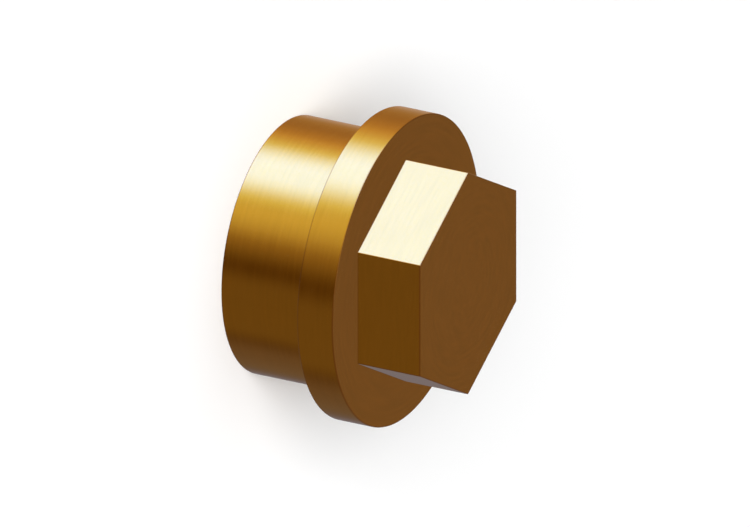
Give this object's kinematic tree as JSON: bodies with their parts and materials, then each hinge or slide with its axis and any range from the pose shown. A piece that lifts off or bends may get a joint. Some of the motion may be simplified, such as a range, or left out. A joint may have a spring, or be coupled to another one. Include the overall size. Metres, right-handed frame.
{
  "type": "manifold end cap",
  "caption": "Turned brass end cap for a pipe manifold: a short hollow spigot, a round flange that seats on the port's face, and a hexagon head for a spanner.",
  "frame": {"origin": "centre of the spigot's free end, on which the cap stands", "axes": "+Z along the cap's axis, from the spigot's free end to the hexagon head; +X square to a flat of the hexagon"},
  "size_m": [0.032, 0.032, 0.021],
  "materials": {
    "turned_brass": "bright turned brass, with fine tool marks"
  },
  "bodies": {
    "root": {"end_cap": "turned_brass"}
  },
  "joints": []
}
